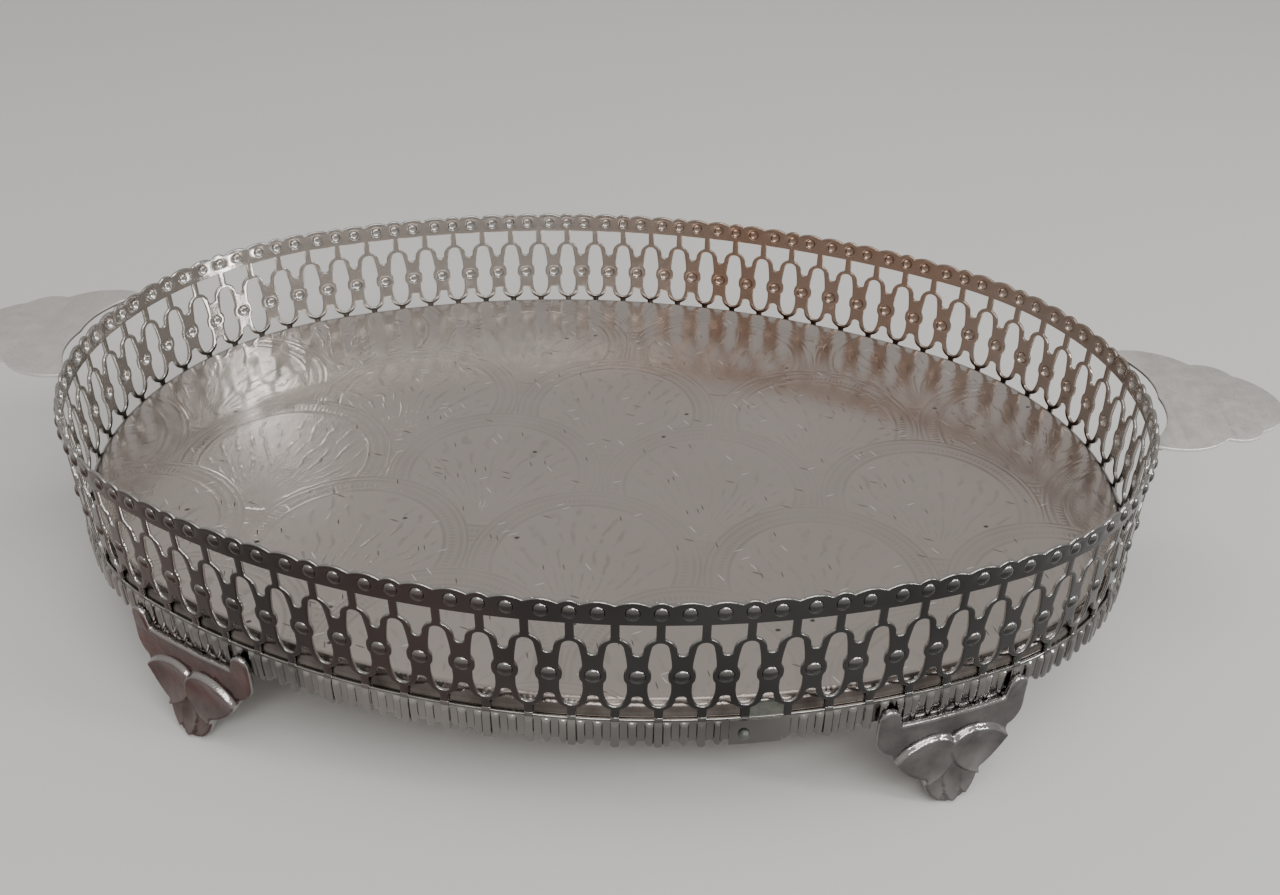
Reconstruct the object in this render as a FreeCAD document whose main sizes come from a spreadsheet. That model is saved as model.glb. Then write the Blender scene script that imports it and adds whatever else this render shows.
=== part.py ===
import FreeCAD, Part
import math
import os
import Sketcher
from FreeCAD import Placement, Rotation, Vector

# A gallery tray: an oval sheet base with a turned-down skirt, one pierced and fluted strip that wraps it
# as a wall, four cast feet and two flat handles. Lengths are millimetres. The origin is at the middle of
# the tray on the surface it stands on, the handles are at the two ends of X, and the strip's joint is on -Y.

SIZES = {
    # plan outline of the strip's outer face: two end arcs and two flatter side arcs, tangent to each other
    "half_length": 140.0,
    "end_radius": 76.0,
    "side_radius": 212.0,
    # heights above the standing surface
    "rim_height": 65.0,
    "floor_height": 35.0,
    "foot_height": 23.5,
    # sheet base
    "sheet_thickness": 0.9,
    "shoulder_radius": 3.2,
    "skirt_bottom": 25.0,
    # pierced strip; depths are below the rim, and one unit of the pattern is one loop
    "strip_thickness": 0.8,
    "unit_count": 80,
    "scallop_depth": 0.9,
    "narrow_scallop": 4.5,
    "band_depth": 6.1,
    "strut_width": 1.85,
    "loop_top": 11.0,
    "loop_bottom": 29.6,
    "loop_width": 4.9,
    "loop_shoulder": 1.75,
    "waist_width": 3.5,
    "ring_width": 1.05,
    "boss_depth": 20.6,
    "arch_bottom": 14.6,
    "notch_top": 26.4,
    "flute_top": 33.5,
    "flutes_in_pair": 5,
    "flute_bulge": 0.7,
    "rib_share": 0.54,
    # joint of the strip's two ends
    "joint_run": 602.4,
    "joint_width": 11.6,
    "joint_thickness": 0.5,
    "joint_fill_top": 35.6,
    # feet
    "foot_run": 95.3,
    "foot_half_width": 18.8,
    "ear_width": 5.7,
    "ear_rise": 6.0,
    "ledge_reach": 2.4,
    "toe_reach": 8.2,
    "sole_half_width": 1.6,
    # handles
    "handle_reach": 32.6,
    "handle_half_width": 22.6,
    "root_sink": 3.4,
    "horn_width": 4.4,
    "handle_gap": 2.2,
    "handle_thickness": 0.9,
    "handle_drop": 0.4,
    "solder_radius": 1.3,
}

document = FreeCAD.newDocument("gallery_tray")
sheet = document.addObject("Spreadsheet::Sheet", "dims")
for row, (name, value) in enumerate(SIZES.items(), 1):
    sheet.set(f"A{row}", name)
    sheet.set(f"B{row}", str(value))
    sheet.setAlias(f"B{row}", name)
document.recompute()


def size(name):
    return float(sheet.get(name))


class Oval:
    """Plan outline of the strip's outer face, walked counter-clockwise from the +X end."""

    def __init__(self):
        self.end_radius = size("end_radius")
        self.side_radius = size("side_radius")
        self.end_x = size("half_length") - self.end_radius
        self.side_y = math.sqrt((self.side_radius - self.end_radius) ** 2 - self.end_x ** 2)
        self.half_width = self.side_radius - self.side_y
        self.end_angle = math.atan2(self.side_y, self.end_x)
        self.end_run = self.end_radius * self.end_angle
        self.side_run = self.side_radius * (math.pi / 2 - self.end_angle)
        self.perimeter = 4 * (self.end_run + self.side_run)

    def station(self, run, out=0.0):
        """The point `run` along the outline, moved `out` from it, and the angle that it faces."""
        quarter = self.perimeter / 4
        quadrant, rest = divmod(run % self.perimeter, quarter)
        along = quarter - rest if quadrant % 2 else rest
        if along <= self.end_run:
            angle = along / self.end_radius
            x = self.end_x + (self.end_radius + out) * math.cos(angle)
            y = (self.end_radius + out) * math.sin(angle)
        else:
            angle = self.end_angle + (along - self.end_run) / self.side_radius
            x = (self.side_radius + out) * math.cos(angle)
            y = (self.side_radius + out) * math.sin(angle) - self.side_y
        flip_x = quadrant in (1, 2)
        flip_y = quadrant in (2, 3)
        angle = math.pi - angle if flip_x else angle
        angle = -angle if flip_y else angle
        return Vector(-x if flip_x else x, -y if flip_y else y, 0), angle

    def wire(self, out, height):
        """The closed outline moved `out`, at a height."""
        quarter = self.perimeter / 4
        joints = (self.end_run, 2 * quarter - self.end_run, 2 * quarter + self.end_run,
                  4 * quarter - self.end_run)
        middles = (quarter, 2 * quarter, 3 * quarter, 4 * quarter)
        lift = Vector(0, 0, height)
        edges = []
        for index, middle in enumerate(middles):
            ends = joints[index], joints[(index + 1) % 4]
            points = [self.station(run, out)[0] + lift for run in (ends[0], middle, ends[1])]
            edges.append(Part.Arc(*points).toShape())
        return Part.Wire(edges)

    def slab(self, out, low, high):
        """A solid of the outline moved `out`, between two heights."""
        return Part.Face(self.wire(out, low)).extrude(Vector(0, 0, high - low))


oval = Oval()
rim = size("rim_height")
unit = oval.perimeter / size("unit_count")


def wall_placement(run, height=0.0, out=0.0):
    """Frame on the wall: X along the wall to the right as seen from outside, Y inwards, Z up."""
    point, angle = oval.station(run, out)
    return Placement(point + Vector(0, 0, height), Rotation(Vector(0, 0, 1), math.degrees(angle) + 90))


def upright_face(edges):
    """A face in the XZ plane. Each edge is a list of two points for a line or three for an arc."""
    shapes = []
    for edge in edges:
        corners = [Vector(across, 0, up) for across, up in edge]
        curve = Part.Arc(*corners) if len(corners) == 3 else Part.LineSegment(*corners)
        shapes.append(curve.toShape())
    return Part.Face(Part.Wire(Part.sortEdges(shapes)[0]))


def both_sides(edges):
    """Edges on the right of a symmetric outline, with their mirror images."""
    return edges + [[(-across, up) for across, up in edge] for edge in edges]


def cutter(face, depth=4.0):
    """A prism through the wall, from half its depth outside to half its depth inside."""
    face.translate(Vector(0, -depth / 2, 0))
    return face.extrude(Vector(0, depth, 0))


def loop_opening():
    """The tall opening in each loop, narrowed at its waist by the bosses' discs on either side."""
    top = rim - size("loop_top")
    bottom = rim - size("loop_bottom")
    waist = rim - size("boss_depth")
    widest = size("loop_width") / 2
    narrow = size("waist_width") / 2
    shoulder = size("loop_shoulder")
    swell, turn, disc = 3.0, 2.1, 1.4
    disc_side = narrow + 0.2
    return upright_face(both_sides([
        [(0, top), (shoulder * 0.66, top - 0.4), (shoulder, top - 1.4)],
        [(shoulder, top - 1.4), (widest - 0.25, top - 4.0), (widest, waist + swell)],
        [(widest, waist + swell), (widest - 0.1, waist + turn), (disc_side, waist + disc)],
        [(disc_side, waist + disc), (narrow, waist), (disc_side, waist - disc)],
        [(disc_side, waist - disc), (widest - 0.1, waist - turn), (widest, waist - swell)],
        [(widest, waist - swell), (widest - 0.1, bottom + 3.4), (shoulder, bottom + 1.3)],
        [(shoulder, bottom + 1.3), (shoulder * 0.66, bottom + 0.38), (0, bottom)],
    ]))


def beside_ring(centre, towards):
    """Edges that follow a loop's round end, upper (towards 1) or lower (-1), from the strut to its side."""
    radius = size("loop_width") / 2 + size("ring_width")
    side = (unit - size("strut_width")) / 2
    fillet_height = 0.65

    def on_ring(degrees):
        angle = math.radians(degrees)
        return unit / 2 - radius * math.cos(angle), centre + towards * radius * math.sin(angle)

    meets = on_ring(67)
    corner = (side, meets[1] + towards * fillet_height)
    bend = (side - 0.12, meets[1] + towards * fillet_height / 3)
    return [[corner, bend, meets], [meets, on_ring(40), on_ring(0)]]


def arch_opening():
    """The opening under the rim band between two loops: square above, then down between their rings."""
    top = rim - size("band_depth")
    bottom = rim - size("arch_bottom")
    side = (unit - size("strut_width")) / 2
    rounded = beside_ring(rim - size("loop_top") - size("loop_width") / 2, 1)
    corner, ring_side = rounded[0][0], rounded[-1][-1]
    return upright_face(both_sides([
        [(0, top), (side, top)],
        [(side, top), corner],
        *rounded,
        [ring_side, (ring_side[0] * 0.7, bottom + 0.3), (0, bottom)],
    ]))


def notch_opening():
    """The opening between two loops above the flutes: round at the top, square at the foot."""
    top = rim - size("notch_top")
    bottom = rim - size("flute_top")
    side = (unit - size("strut_width")) / 2
    rounded = beside_ring(rim - size("loop_bottom") + size("loop_width") / 2, -1)
    corner, ring_side = rounded[0][0], rounded[-1][-1]
    return upright_face(both_sides([
        [(0, top), (ring_side[0] * 0.72, top - 0.25), ring_side],
        *rounded,
        [corner, (side, bottom)],
        [(side, bottom), (0, bottom)],
    ]))


def rim_scallops():
    """What is cut from the top edge over two units: one narrow scallop between two wide halves."""
    dip = rim - size("scallop_depth")
    narrow = size("narrow_scallop") / 2
    wide_middle = (narrow + unit) / 2
    above = rim + 1.0
    return upright_face(both_sides([
        [(0, rim), (narrow * 0.6, rim - size("scallop_depth") * 0.33), (narrow, dip)],
        [(narrow, dip), (wide_middle, rim), (unit, dip)],
        [(unit, dip), (unit, above)],
        [(unit, above), (0, above)],
    ]))


def fluted_outline(low):
    """The fluted band's outer edge: rounded ribs with narrow flats, and one long flat at the joint."""
    pitch = 2 * unit / size("flutes_in_pair")
    half_rib = size("rib_share") / 2 * pitch
    half_joint = size("joint_width") / 2
    lift = Vector(0, 0, low)
    ribs = []
    for index in range(round(oval.perimeter / pitch)):
        crest = unit / 2 + unit + index * pitch
        away = (crest - size("joint_run") + oval.perimeter / 2) % oval.perimeter - oval.perimeter / 2
        if abs(away) > half_joint + half_rib:
            ribs.append(crest)
    edges = []
    for crest, following in zip(ribs, ribs[1:] + ribs[:1]):
        start = oval.station(crest - half_rib)[0] + lift
        top = oval.station(crest, size("flute_bulge"))[0] + lift
        end = oval.station(crest + half_rib)[0] + lift
        onward = oval.station(following - half_rib)[0] + lift
        edges.append(Part.Arc(start, top, end).toShape())
        edges.append(Part.LineSegment(end, onward).toShape())
    return Part.Wire(edges)


def make_gallery_strip():
    """The wall: a strip bent round the base, pierced with loops, scalloped above and fluted below."""
    low = size("foot_height")
    flute_top = rim - size("flute_top")
    wall = oval.slab(0, flute_top, rim)
    flutes = Part.Face(fluted_outline(low)).extrude(Vector(0, 0, flute_top - low))
    strip = wall.fuse(flutes).cut(oval.slab(-size("strip_thickness"), low, rim))
    loop, arch, notch, scallops = [cutter(make()) for make in
                                   (loop_opening, arch_opening, notch_opening, rim_scallops)]
    cuts = []
    for index in range(round(size("unit_count"))):
        strut = (index + 0.5) * unit
        between = strut + unit / 2
        wanted = [(loop, strut), (arch, between), (notch, between)]
        if index % 2 == 0:
            wanted.append((scallops, strut))
        for shape, run in wanted:
            piece = shape.copy()
            piece.Placement = wall_placement(run)
            cuts.append(piece)
    return strip.cut(cuts)


def make_feature(label, shape, placement=Placement()):
    """A feature whose shape is set from code, for a piece that follows the oval's changing radius."""
    feature = document.addObject("Part::Feature", label)
    feature.Label = label
    feature.Shape = shape
    feature.Placement = placement
    return feature


def origin_plane(body, role):
    return next(item for item in body.Origin.OriginFeatures if item.Role == role)


def oval_sketch(body, name, inset, height):
    """The plan outline moved inwards, as a sketch of four tangent arcs held by the driving radii."""
    sketch = body.newObject("Sketcher::SketchObject", name)
    sketch.AttachmentSupport = (origin_plane(body, "XY_Plane"), "")
    sketch.MapMode = "FlatFace"
    sketch.setExpression("AttachmentOffset.Base.z", height)
    inset_now = sum(size(part.strip().removeprefix("dims.")) for part in inset.split("+"))
    end_radius = oval.end_radius - inset_now
    side_radius = oval.side_radius - inset_now
    axis = Vector(0, 0, 1)
    arcs = (
        (Vector(oval.end_x, 0, 0), end_radius, -oval.end_angle, oval.end_angle),
        (Vector(0, -oval.side_y, 0), side_radius, oval.end_angle, math.pi - oval.end_angle),
        (Vector(-oval.end_x, 0, 0), end_radius, math.pi - oval.end_angle, math.pi + oval.end_angle),
        (Vector(0, oval.side_y, 0), side_radius, math.pi + oval.end_angle, 2 * math.pi - oval.end_angle),
    )
    for centre, radius, start, end in arcs:
        circle = Part.Circle(centre, axis, radius)
        sketch.addGeometry(Part.ArcOfCircle(circle, start, end), False)
    start_point, end_point, centre_point, x_axis, y_axis = 1, 2, 3, -1, -2
    for index in range(3):
        sketch.addConstraint(Sketcher.Constraint("Tangent", index, end_point, index + 1, start_point))
    sketch.addConstraint(Sketcher.Constraint("Coincident", 3, end_point, 0, start_point))
    for index, mirror in ((0, x_axis), (1, y_axis), (2, x_axis)):
        sketch.addConstraint(Sketcher.Constraint("Symmetric", index, start_point, index, end_point, mirror))
    driving = (
        ("end", Sketcher.Constraint("Radius", 0, end_radius), f"dims.end_radius - ({inset})"),
        ("side", Sketcher.Constraint("Radius", 1, side_radius), f"dims.side_radius - ({inset})"),
        ("spread", Sketcher.Constraint("DistanceX", x_axis, start_point, 0, centre_point, oval.end_x),
         "dims.half_length - dims.end_radius"),
    )
    for name, constraint, formula in driving:
        index = sketch.addConstraint(constraint)
        sketch.renameConstraint(index, name)
        sketch.setExpression(f"Constraints.{name}", formula)
    return sketch


def edges_at(shape, height):
    """Names of a shape's edges that lie level at a height."""
    level = []
    for index, edge in enumerate(shape.Edges, 1):
        box = edge.BoundBox
        if abs(box.ZMin - height) < 1e-4 and abs(box.ZMax - height) < 1e-4:
            level.append(f"Edge{index}")
    return level


def make_base_tray():
    """The sheet base: a flat floor whose edge rolls over into a skirt, open underneath."""
    body = document.addObject("PartDesign::Body", "base_tray")
    body.Label = "base_tray"
    block = body.newObject("PartDesign::Pad", "tray_block")
    block.Profile = oval_sketch(body, "tray_outline", "dims.strip_thickness", "dims.skirt_bottom")
    block.setExpression("Length", "dims.floor_height - dims.skirt_bottom")
    document.recompute()
    hollow = body.newObject("PartDesign::Pocket", "underside")
    hollow.Profile = oval_sketch(body, "underside_outline", "dims.strip_thickness + dims.sheet_thickness",
                                 "dims.skirt_bottom")
    hollow.setExpression("Length", "dims.floor_height - dims.skirt_bottom - dims.sheet_thickness")
    hollow.Reversed = True
    document.recompute()
    bend = body.newObject("PartDesign::Fillet", "inner_bend")
    bend.Base = (hollow, edges_at(hollow.Shape, size("floor_height") - size("sheet_thickness")))
    bend.setExpression("Radius", "dims.shoulder_radius - dims.sheet_thickness")
    document.recompute()
    shoulder = body.newObject("PartDesign::Fillet", "shoulder")
    shoulder.Base = (bend, edges_at(bend.Shape, size("floor_height")))
    shoulder.setExpression("Radius", "dims.shoulder_radius")
    body.Tip = shoulder
    document.recompute()
    return body


def handle_outline():
    """Half of a handle's scalloped edge, from the wall to the tip, in mm beyond the end of the tray."""
    reach = size("handle_reach")
    half = size("handle_half_width")
    root = (-size("root_sink"), half)
    first_cusp = (14.5, half * 0.762)
    second_cusp = (24.0, half * 0.57)
    return [
        [root, (7.4, half * 0.98), first_cusp],
        [first_cusp, (20.2, half * 0.745), second_cusp],
        [second_cusp, (reach * 0.942, half * 0.29), (reach, 0)],
    ]


def make_handle_blank():
    """A flat sheet handle at +X: three lobes on each side, with horns that meet the wall."""
    top = rim - size("handle_drop")
    low = top - size("handle_thickness")
    shift = size("half_length")
    edges = []
    for start, middle, end in handle_outline():
        for side in (1, -1):
            points = [Vector(shift + x, side * y, low) for x, y in (start, middle, end)]
            edges.append(Part.Arc(*points).toShape())
    root_x, root_y = handle_outline()[0][0]
    inside = shift - 3 * size("root_sink")
    corners = [Vector(shift + root_x, root_y, low), Vector(inside, root_y, low),
               Vector(inside, -root_y, low), Vector(shift + root_x, -root_y, low)]
    for first, second in zip(corners, corners[1:]):
        edges.append(Part.LineSegment(first, second).toShape())
    face = Part.Face(Part.Wire(Part.sortEdges(edges)[0]))
    plate = face.extrude(Vector(0, 0, top - low))
    gap_half = root_y - size("horn_width")
    wall_x = oval.end_x + math.sqrt(oval.end_radius ** 2 - gap_half ** 2)
    gap_arc = Part.Arc(Vector(wall_x, gap_half, low - 1), Vector(shift + size("handle_gap"), 0, low - 1),
                       Vector(wall_x, -gap_half, low - 1)).toShape()
    chord = Part.LineSegment(Vector(wall_x, -gap_half, low - 1), Vector(wall_x, gap_half, low - 1)).toShape()
    gap = Part.Face(Part.Wire([gap_arc, chord])).extrude(Vector(0, 0, 3))
    return plate.cut([oval.slab(0, low - 1, top + 1), gap])


def make_handles():
    blank = make_handle_blank()
    turned = Placement(Vector(0, 0, 0), Rotation(Vector(0, 0, 1), 180))
    return [make_feature("handle_right", blank), make_feature("handle_left", blank, turned)]


def make_handle_solder():
    """Four small round fillets of solder under the horns, each in the corner of plate and wall."""
    under = rim - size("handle_drop") - size("handle_thickness")
    radius = size("solder_radius")
    across = size("handle_half_width") - size("horn_width") / 2
    wall = oval.slab(0, under - 2 * radius, under)
    beads = []
    for end in (1, -1):
        for side in (1, -1):
            wall_x = oval.end_x + math.sqrt(oval.end_radius ** 2 - across ** 2)
            bead = Part.makeSphere(radius, Vector(end * wall_x, side * across, under))
            top = Part.makeBox(4 * radius, 4 * radius, 2 * radius,
                               Vector(end * wall_x - 2 * radius, side * across - 2 * radius, under))
            beads.append(bead.cut([top, wall]))
    return make_feature("handle_solder", Part.Compound(beads))


def make_joint_plate():
    """The thin plate that covers the joint of the strip's ends, curved with the wall."""
    margin = 0.35
    low = size("foot_height") + margin
    high = rim - size("flute_top") - margin
    width = size("joint_width")
    shell = oval.slab(size("joint_thickness"), low, high).cut(oval.slab(0, low, high))
    window = Part.makeBox(width, 12, high - low, Vector(-width / 2, -6, low))
    window.Placement = wall_placement(size("joint_run"))
    return make_feature("joint_plate", shell.common(window))


def make_joint_solder():
    """Solder at the joint: it fills the foot of one notch, and a blob of it sits low on the plate."""
    low = rim - size("flute_top")
    fill_top = size("joint_fill_top")
    sheet_of_solder = oval.slab(-0.1, low, fill_top).cut(oval.slab(-size("strip_thickness"), low, fill_top))
    notch = cutter(notch_opening())
    notch.Placement = wall_placement(round(size("joint_run") / unit) * unit)
    blob_run = size("joint_run") - 0.22 * size("joint_width")
    blob_drop = 4.5
    centre, _ = oval.station(blob_run, size("joint_thickness"))
    blob = Part.makeSphere(size("solder_radius"), centre + Vector(0, 0, low - blob_drop))
    blob = blob.cut(oval.slab(size("joint_thickness"), low - 8, low))
    return make_feature("joint_solder", Part.Compound([sheet_of_solder.common(notch), blob]))


def foot_face():
    """Front outline of a foot: two ears, the ledge between them, then three tiers of lobes to the toe."""
    ledge = size("foot_height")
    half = size("foot_half_width")
    ear_top = ledge + size("ear_rise")
    inner = half - size("ear_width")
    ear_middle = half - size("ear_width") * 0.45
    first_cusp = (half * 0.79, ledge - 7.8)
    second_cusp = (half * 0.36, ledge - 15.8)
    sole = size("sole_half_width")
    return upright_face(both_sides([
        [(0, ledge), (inner, ledge)],
        [(inner, ledge), (inner + 0.7, ear_top - 2.0)],
        [(inner + 0.7, ear_top - 2.0), (ear_middle, ear_top), (half, ear_top - 2.6)],
        [(half, ear_top - 2.6), (half, ledge - 2.0)],
        [(half, ledge - 2.0), (half * 0.94, ledge - 5.8), first_cusp],
        [first_cusp, (half * 0.63, ledge - 12.9), second_cusp],
        [second_cusp, (half * 0.26, ledge - 21.3), (sole, 0)],
        [(sole, 0), (0, 0)],
    ]))


def foot_profile():
    """Side section of a foot in the YZ plane, Y inwards: straight behind the ears, then flaring out."""
    ledge = size("foot_height")
    top = ledge + size("ear_rise") + 1
    reach = size("ledge_reach")
    toe = size("toe_reach")
    outside = [(-reach, top), (-reach, ledge - 2.0), (-toe * 0.62, ledge * 0.48), (-toe, 3.0),
               (-toe + 0.4, 0.8), (-toe + 1.2, 0)]
    inside = [(-toe + 3.6, 0), (-toe + 4.2, 3.0), (-toe * 0.28, ledge * 0.5), (1.4, ledge - 2.6),
              (2.2, ledge - 1.0), (2.2, top)]
    points = [Vector(0, y, z) for y, z in outside + inside]
    return Part.Face(Part.makePolygon(points + points[:1]))


def make_foot_blank():
    """A cast foot in its own frame: the front outline and the side section met, less the strip's seat."""
    reach = 3 * size("toe_reach")
    half = size("foot_half_width")
    front = foot_face()
    front.translate(Vector(0, -reach / 2, 0))
    side = foot_profile()
    side.translate(Vector(-half - 1, 0, 0))
    return front.extrude(Vector(0, reach, 0)).common(side.extrude(Vector(2 * half + 2, 0, 0)))


def make_feet():
    blank = make_foot_blank()
    ledge = size("foot_height")
    seat = oval.slab(size("flute_bulge"), ledge, ledge + 2 * size("ear_rise"))
    run = size("foot_run")
    half_way = oval.perimeter / 2
    runs = {"foot_rear_right": run, "foot_rear_left": half_way - run,
            "foot_front_left": half_way + run, "foot_front_right": -run}
    feet = []
    for label, where in runs.items():
        foot = blank.copy()
        foot.Placement = wall_placement(where)
        feet.append(make_feature(label, foot.cut(seat)))
    return feet


def export(pieces):
    """Check every object and every piece, then write one STEP file per piece."""
    document.recompute()
    for item in document.Objects:
        if "Invalid" in item.State or "Error" in item.State:
            raise RuntimeError(f"{item.Label} did not recompute: {item.State}")
    for piece in pieces:
        if piece.Shape.isNull() or not piece.Shape.isValid() or not piece.Shape.Solids:
            raise RuntimeError(f"{piece.Label} has no valid solid")
    os.makedirs("parts", exist_ok=True)
    for piece in pieces:
        piece.Shape.exportStep(f"parts/{piece.Label}.step")
        box = piece.Shape.BoundBox
        print(f"{piece.Label}: {len(piece.Shape.Solids)} solid, {piece.Shape.Volume:.0f} mm3, "
              f"z {box.ZMin:.2f} to {box.ZMax:.2f}")


pieces = [make_base_tray(), make_feature("gallery_strip", make_gallery_strip())]
pieces += make_handles() + [make_handle_solder(), make_joint_plate(), make_joint_solder()] + make_feet()
export(pieces)
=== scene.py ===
import math

import bmesh
import bpy
import numpy as np
from mathutils import Matrix, Vector, noise


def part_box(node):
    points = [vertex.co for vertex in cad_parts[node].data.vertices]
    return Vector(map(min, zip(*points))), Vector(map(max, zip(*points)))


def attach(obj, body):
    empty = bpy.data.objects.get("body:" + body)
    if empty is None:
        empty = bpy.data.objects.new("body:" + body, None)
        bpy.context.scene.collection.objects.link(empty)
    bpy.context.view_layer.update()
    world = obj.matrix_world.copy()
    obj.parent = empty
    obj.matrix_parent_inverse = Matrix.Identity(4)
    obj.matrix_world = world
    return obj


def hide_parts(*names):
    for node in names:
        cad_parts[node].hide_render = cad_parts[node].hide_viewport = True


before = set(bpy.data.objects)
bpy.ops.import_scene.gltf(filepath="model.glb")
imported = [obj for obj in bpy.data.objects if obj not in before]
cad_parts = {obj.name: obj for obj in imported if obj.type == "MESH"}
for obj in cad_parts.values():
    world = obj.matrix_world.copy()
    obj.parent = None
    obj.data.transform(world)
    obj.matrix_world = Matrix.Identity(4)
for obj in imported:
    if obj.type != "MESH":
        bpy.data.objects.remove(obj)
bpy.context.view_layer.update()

# An oval gallery tray in silver plate. Shapes are worked out in millimetres in the tray's own frame and
# turned into metres where a mesh is made. The wall's shapes are drawn flat, as (along the wall, up, out
# of it), and then bent round the oval.

MM = 0.001
SCENE = bpy.context.scene

# ---------------------------------------------------------------- sizes read from the frame

strip_low, strip_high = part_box("gallery_strip")
tray_low, tray_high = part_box("base_tray")
handle_low, handle_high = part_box("handle_right")

# The flutes stand out of the wall, so the strip is longer than the wall by them.
FLUTE_BULGE = 0.7
HALF_LENGTH = round(strip_high.x / MM - FLUTE_BULGE, 1)
RIM = strip_high.z / MM
STRIP_LOW = strip_low.z / MM
FLOOR = tray_high.z / MM
SKIRT_LOW = tray_low.z / MM
HANDLE_REACH = handle_high.x / MM - HALF_LENGTH
HANDLE_HALF = 22.6

# ---------------------------------------------------------------- the oval and its pattern

# A run is a distance along the wall from +X, counter-clockwise. JOINT_RUN is where the strip's ends meet,
# with no flutes within FLUTE_EMPTY of it, and FOOT_RUN is the rear right foot.

END_RADIUS = 76.0
SIDE_RADIUS = 212.0
STRIP_SHEET = 0.8
BASE_SHEET = 0.9
SHOULDER = 3.2
UNITS = 80
FLUTES = 200
FLUTE_TOP = RIM - 33.5
FLUTE_EMPTY = 7.7
JOINT_RUN = 602.4
FOOT_RUN = 95.3

END_X = HALF_LENGTH - END_RADIUS
SIDE_Y = math.sqrt((SIDE_RADIUS - END_RADIUS) ** 2 - END_X ** 2)
END_ANGLE = math.atan2(SIDE_Y, END_X)
END_RUN = END_RADIUS * END_ANGLE
SIDE_RUN = SIDE_RADIUS * (math.pi / 2 - END_ANGLE)
PERIMETER = 4 * (END_RUN + SIDE_RUN)
UNIT = PERIMETER / UNITS
FLUTE_PITCH = PERIMETER / FLUTES


def wall_points(run, out, height):
    """Points in metres from millimetres along the wall (counter-clockwise from +X), out of it and up."""
    run = np.mod(np.asarray(run, float), PERIMETER)
    quarter = PERIMETER / 4
    quadrant = np.floor(run / quarter).astype(int)
    rest = run - quadrant * quarter
    along = np.where(quadrant % 2 == 1, quarter - rest, rest)
    on_end = along <= END_RUN
    angle = np.where(on_end, along / END_RADIUS, END_ANGLE + (along - END_RUN) / SIDE_RADIUS)
    radius = np.where(on_end, END_RADIUS, SIDE_RADIUS) + out
    x = np.where(on_end, END_X, 0) + radius * np.cos(angle)
    y = np.where(on_end, 0, -SIDE_Y) + radius * np.sin(angle)
    x = np.where((quadrant == 1) | (quadrant == 2), -x, x)
    y = np.where(quadrant >= 2, -y, y)
    return np.column_stack([x, y, np.broadcast_to(height, x.shape)]) * MM


# ---------------------------------------------------------------- outlines

def arc(start, middle, end, steps):
    """Points on the circle through three points, from start up to but not including end."""
    (ax, ay), (bx, by), (cx, cy) = start, middle, end
    double = 2 * (ax * (by - cy) + bx * (cy - ay) + cx * (ay - by))
    a2, b2, c2 = ax * ax + ay * ay, bx * bx + by * by, cx * cx + cy * cy
    x = (a2 * (by - cy) + b2 * (cy - ay) + c2 * (ay - by)) / double
    y = (a2 * (cx - bx) + b2 * (ax - cx) + c2 * (bx - ax)) / double
    radius = math.hypot(ax - x, ay - y)
    first, between, last = [math.atan2(py - y, px - x) for px, py in (start, middle, end)]
    turn = (last - first) % math.tau
    if (between - first) % math.tau > turn:
        turn -= math.tau
    angles = [first + turn * step / steps for step in range(steps)]
    return [(x + radius * math.cos(angle), y + radius * math.sin(angle)) for angle in angles]


def half_outline(edges, steps):
    """Points along edges of two points (a line) or three (an arc), with the very last point."""
    points = []
    for edge in edges:
        points += arc(*edge, steps) if len(edge) == 3 else [edge[0]]
    return points + [edges[-1][-1]]


def symmetric(edges, steps=6):
    """A closed outline from its right half, which starts and ends on the middle line."""
    right = half_outline(edges, steps)
    return right + [(-across, up) for across, up in reversed(right) if abs(across) > 1e-6]


def moved(outline, across):
    return [(x + across, y) for x, y in outline]


def ellipse(across, up, width, height, steps=20):
    angles = [math.tau * step / steps for step in range(steps)]
    return [(across + width * math.cos(angle), up + height * math.sin(angle)) for angle in angles]


# ---------------------------------------------------------------- meshes

WELD = 0.002
SHEET_WELD = 0.0005


def flat_sheet(outlines, thickness, edge, rounds=2):
    """A flat sheet with rounded edges in the XY plane, Z through it. Inner outlines are openings."""
    curve = bpy.data.curves.new("sheet", "CURVE")
    curve.dimensions = "2D"
    curve.fill_mode = "BOTH"
    curve.extrude = thickness / 2 - edge
    curve.bevel_depth = edge
    curve.bevel_resolution = rounds
    curve.offset = -edge
    for outline in outlines:
        spline = curve.splines.new("POLY")
        spline.points.add(len(outline) - 1)
        for point, (x, y) in zip(spline.points, outline):
            point.co = (x, y, 0, 1)
        spline.use_cyclic_u = True
    holder = bpy.data.objects.new("sheet", curve)
    SCENE.collection.objects.link(holder)
    shaped = holder.evaluated_get(bpy.context.evaluated_depsgraph_get())
    mesh = bpy.data.meshes.new_from_object(shaped)
    made = bmesh.new()
    made.from_mesh(mesh)
    bpy.data.objects.remove(holder)
    bpy.data.curves.remove(curve)
    bpy.data.meshes.remove(mesh)
    bmesh.ops.remove_doubles(made, verts=made.verts, dist=SHEET_WELD)
    return made


def slice_up(made, axis, places):
    """Cuts a mesh across an axis at some places, so that it can bend there."""
    normal = [0, 0, 0]
    normal[axis] = 1
    for place in places:
        point = [0, 0, 0]
        point[axis] = place
        everything = made.verts[:] + made.edges[:] + made.faces[:]
        bmesh.ops.bisect_plane(made, geom=everything, plane_co=point, plane_no=normal)


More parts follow.
